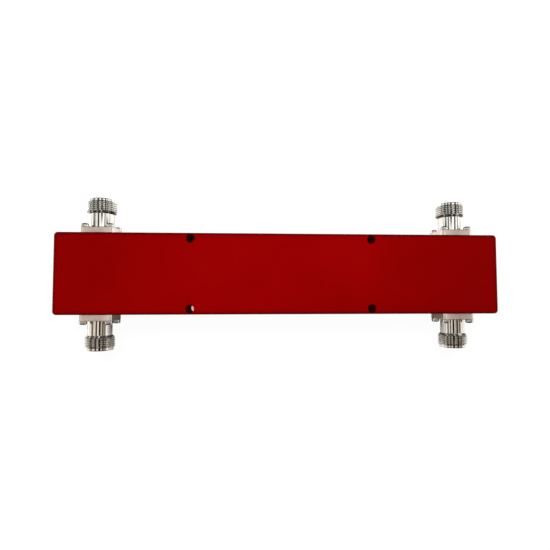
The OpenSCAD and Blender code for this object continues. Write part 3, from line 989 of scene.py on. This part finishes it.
def addStrips(tree, acrossX, s):
    part = calculate(tree, "DIVIDE", acrossX, 2 * s["half"], -800, 100)
    ramp = addNode(tree, "ShaderNodeValToRGB", -500, 100)
    ramp.color_ramp.interpolation = "EASE"
    elements = ramp.color_ramp.elements
    elements[0].color = elements[1].color = (1.0, 1.0, 1.0, 1.0)
    for middle, width, dark in s["gaps"]:
        low, high, soft = middle - width / 2, middle + width / 2, s["soft"]
        for at, value in ((low - soft, 1.0), (low, dark), (high, dark), (high + soft, 1.0)):
            elements.new(0.5 + at / (2 * s["half"])).color = (value, value, value, 1.0)
    wire(tree, calculate(tree, "ADD", part, 0.5, -650, 100), ramp.inputs["Fac"])
    lean = calculate(tree, "MULTIPLY_ADD", acrossX, s["sideways"], -300, 350)
    lean.node.inputs[2].default_value = s["strength"]
    return calculate(tree, "MULTIPLY", ramp.outputs["Color"], lean, 0, 200)


def addSpot(tree, place, s):
    fromSpot = addNode(tree, "ShaderNodeVectorMath", -500, -900, operation="SUBTRACT")
    fromSpot.inputs[1].default_value = s["spotMiddle"]
    wire(tree, place, fromSpot.inputs[0])
    byReach = addNode(tree, "ShaderNodeVectorMath", -400, -900, operation="DIVIDE")
    byReach.inputs[1].default_value = s["spotReach"]
    wire(tree, fromSpot.outputs[0], byReach.inputs[0])
    distance = addNode(tree, "ShaderNodeVectorMath", -300, -900, operation="LENGTH")
    wire(tree, byReach.outputs[0], distance.inputs[0])
    spot = limitValue(tree, distance.outputs["Value"], 1.0, 0.0, -150, -900)
    return calculate(tree, "MULTIPLY", spot, s["spotGain"], 50, -900)


def buildLightPanel(s):  # seen in reflections only
    panel = addSheet("lightPanel", s["half"], s["height"])
    panel.visible_camera = False
    panel.visible_diffuse = False
    panel.visible_shadow = False
    material, tree, shader, place = startMaterial("lightPanel")
    tree.nodes.remove(shader)
    acrossX, alongY = splitPlace(tree, place, -1000, 0)[:2]
    left = limitValue(tree, acrossX, s["darkFrom"] - s["darkSoft"], s["darkFrom"], -500, -200)
    right = limitValue(tree, acrossX, s["darkTo"] + s["darkSoft"], s["darkTo"], -500, -450)
    near = limitValue(tree, alongY, s["darkStart"], s["darkFull"], -500, -700)
    stripe = calculate(tree, "MULTIPLY", left, right, -300, -300)
    shaded = calculate(tree, "MULTIPLY", stripe, near, -150, -400)
    outside = limitValue(tree, acrossX, s["besideFrom"], s["besideTo"], -500, -1500)
    forward = limitValue(tree, alongY, s["besideStart"], s["besideFull"], -500, -1750)
    corner = calculate(tree, "MULTIPLY", outside, forward, -300, -1600)
    dimmed = calculate(tree, "MULTIPLY", corner, s["besideDark"], -150, -1600)
    clear = calculate(tree, "SUBTRACT", 1.0, calculate(tree, "MAXIMUM", shaded, dimmed, 0, -700), 0, -400)
    lit = calculate(tree, "MULTIPLY", addStrips(tree, acrossX, s), clear, 150, 0)
    summed = calculate(tree, "ADD", lit, addSpot(tree, place, s), 300, 0)
    endways = calculate(tree, "ABSOLUTE", alongY, None, -300, -1200)
    ends = limitValue(tree, endways, s["endTo"], s["endFrom"], -150, -1200, least=s["endDark"])
    angle = calculate(tree, "DIVIDE", alongY, s["height"], 0, 500)
    glow = addNode(tree, "ShaderNodeEmission", 700, 0)
    wire(tree, warmTone(tree, angle, 150, 500), glow.inputs["Color"])
    wire(tree, calculate(tree, "MULTIPLY", summed, ends, 450, 0), glow.inputs["Strength"])
    wire(tree, glow.outputs[0], tree.nodes["Material Output"].inputs["Surface"])
    panel.data.materials.append(material)


lightRoom = {
    "overhead": 1.25,
    "horizon": 1.4,
    "pale": 1.0,  # as the camera sees it
    "panelEnd": 0.50,  # dark ends along Y, as seen past the panel
    "darkEnd": 0.80,
    "endDark": 0.03,
}


def buildLightRoom(s):
    world = bpy.data.worlds.new("lightRoom")
    world.use_nodes = True
    bpy.context.scene.world = world
    tree = world.node_tree
    back = tree.nodes["Background"]
    back.location = (600, 0)
    look = addNode(tree, "ShaderNodeTexCoord", -1200, 0).outputs["Generated"]
    lookY, lookZ = splitPlace(tree, look, -1000, 0)[1:]
    rise = spreadValue(tree, lookZ, s["horizon"], s["overhead"], -650, -150)
    endways = calculate(tree, "ABSOLUTE", lookY, None, -650, -650)
    ends = limitValue(tree, endways, s["darkEnd"], s["panelEnd"], -450, -650, least=s["endDark"])
    strength = calculate(tree, "MULTIPLY", rise, ends, 200, 50)
    seen = addNode(tree, "ShaderNodeLightPath", 0, 300).outputs["Is Camera Ray"]
    tone = warmTone(tree, lookY, 0, 500)
    wire(tree, mixColours(tree, seen, tone, (1.0, 1.0, 1.0), 450, 300), back.inputs["Color"])
    plain = addNode(tree, "ShaderNodeMix", 300, 0, data_type="FLOAT")
    wire(tree, seen, plain.inputs["Factor"])
    wire(tree, strength, plain.inputs["A"])
    wire(tree, s["pale"], plain.inputs["B"])
    wire(tree, plain.outputs["Result"], back.inputs["Strength"])


keyLight = {"place": (-0.15, 0.75, 1.05), "aim": (0.0, 0.0, 0.0), "size": 0.9, "watts": 54.0}


def buildKeyLight(s):
    data = bpy.data.lights.new("backSoftbox", "AREA")
    data.shape = "SQUARE"
    data.size = s["size"]
    data.energy = s["watts"]
    light = bpy.data.objects.new("backSoftbox", data)
    light.location = s["place"]
    aim = Vector(s["aim"]) - Vector(s["place"])
    light.rotation_euler = aim.to_track_quat("-Z", "Y").to_euler()
    light.visible_camera = False
    light.visible_glossy = False
    bpy.context.scene.collection.objects.link(light)


photoCamera = {
    "place": (-0.018372, -0.012764, 0.25762),
    "lens": 28.285,
    "sensor": 36.0,
    "near": 0.01,
    "far": 50.0,
    "nod": -0.0514007,
    "lean": 0.0620750,
    "roll": 0.00128579,
}


def buildCamera(s):
    data = bpy.data.cameras.new("photoCamera")
    data.lens = s["lens"]
    data.sensor_width = s["sensor"]
    data.clip_start = s["near"]
    data.clip_end = s["far"]
    camera = bpy.data.objects.new("photoCamera", data)
    turn = (Matrix.Rotation(s["roll"], 3, "Z") @ Matrix.Rotation(s["nod"], 3, "X")
            @ Matrix.Rotation(s["lean"], 3, "Y"))
    camera.matrix_world = Matrix.Translation(s["place"]) @ turn.transposed().to_4x4()
    bpy.context.scene.collection.objects.link(camera)
    bpy.context.scene.camera = camera


buildCamera(photoCamera)
buildLightRoom(lightRoom)
buildLightPanel(lightPanel)
buildKeyLight(keyLight)
buildFloor(studioFloor)
bpy.context.scene.view_settings.view_transform = "Standard"
bpy.context.scene.view_settings.look = "None"
print("camera, light and floor are in place")

cloudGroup = buildCloudGroup()
grainGroup = buildGrainGroup()
edgeGroup = buildEdgeGroup()
axisX, _, axisZ, axisWall = jackAxis("out_1")
turningGroup = buildTurningGroup(axisX, axisZ, axisWall)
redAnodised = makeRedFinish(cloudGroup, grainGroup, edgeGroup)
nickel = makeNickelPlate(cloudGroup, turningGroup, edgeGroup)
milled = makeMilledNickel(cloudGroup)
steel = makeScrewSteel(cloudGroup, grainGroup, edgeGroup)
gold = makeContactGold(cloudGroup, turningGroup)
silver = makeSilverPlate(cloudGroup)
insulation = makeWhiteInsulation(cloudGroup, grainGroup)
rubber = makeSealRubber(cloudGroup, grainGroup)
print("materials are made")

for name in nodes:
    if name in ("housing", "cover"):
        dressSolid(name, redAnodised)
    elif name.endswith("_shell"):
        dressSolid(name, nickel)
    elif name.endswith("_screws"):
        dressSolid(name, steel)
    elif name.endswith("_contact"):
        dressSolid(name, gold)
    elif name.endswith("_line"):
        dressSolid(name, silver)
    elif name.endswith("_insulator") or name.startswith("line_support"):
        dressSolid(name, insulation)
    else:
        dressSolid(name, rubber)
print("solid pieces are dressed")

buildJackShells([nickel, milled])
print("threaded shells are in place")
buildFlangeScrews(steel)
print("domed screws are in place")
